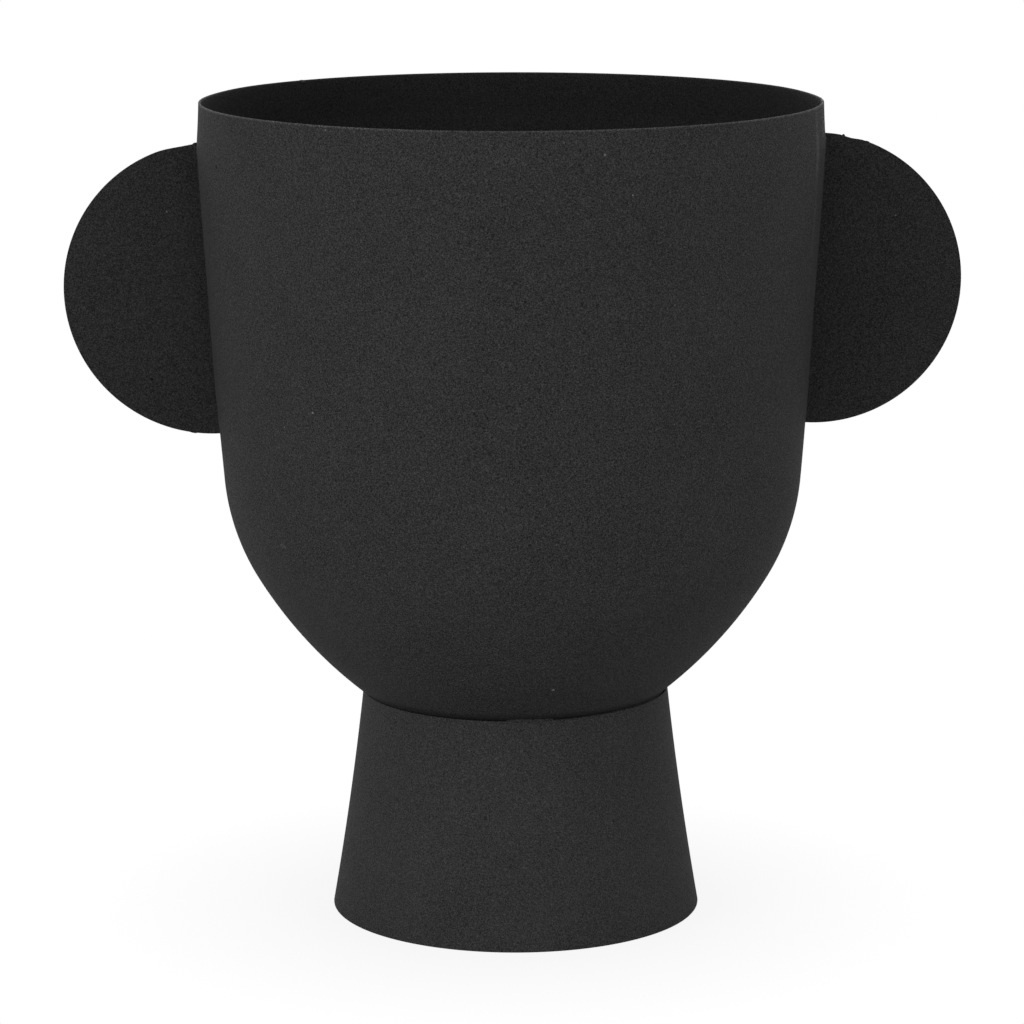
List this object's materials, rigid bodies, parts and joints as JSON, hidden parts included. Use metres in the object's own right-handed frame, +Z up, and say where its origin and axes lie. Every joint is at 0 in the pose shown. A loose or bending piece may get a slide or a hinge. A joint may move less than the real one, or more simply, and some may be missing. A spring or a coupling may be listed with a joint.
{
  "type": "metal vase",
  "caption": "Free-standing black sheet-metal vase: a deep round bowl with flat half-disc ears, on a flared hollow foot.",
  "frame": {"origin": "on the floor under the middle of the overall box, on the bowl's axis", "axes": "+Z up, +X through the right ear as the front is seen, -Y towards the front"},
  "size_m": [0.3346, 0.2324, 0.307],
  "materials": {
    "bowl_coat": "matt black sand-texture powder coat",
    "foot_coat": "matt black sand-texture powder coat",
    "ear_coat": "matt black sand-texture powder coat",
    "weld_coat": "weld metal under the same matt black powder coat"
  },
  "bodies": {
    "root": {"bowl_wall": "bowl_coat", "bowl_dish": "bowl_coat", "foot_skirt": "foot_coat", "ear_left": "ear_coat", "ear_right": "ear_coat", "wall_seam_weld": "weld_coat", "girth_weld": "weld_coat", "foot_seam_weld": "weld_coat", "neck_weld": "weld_coat", "neck_tack": "weld_coat", "ear_left_front_weld": "weld_coat", "ear_left_back_weld": "weld_coat", "ear_right_front_weld": "weld_coat", "ear_right_back_weld": "weld_coat"}
  },
  "joints": []
}
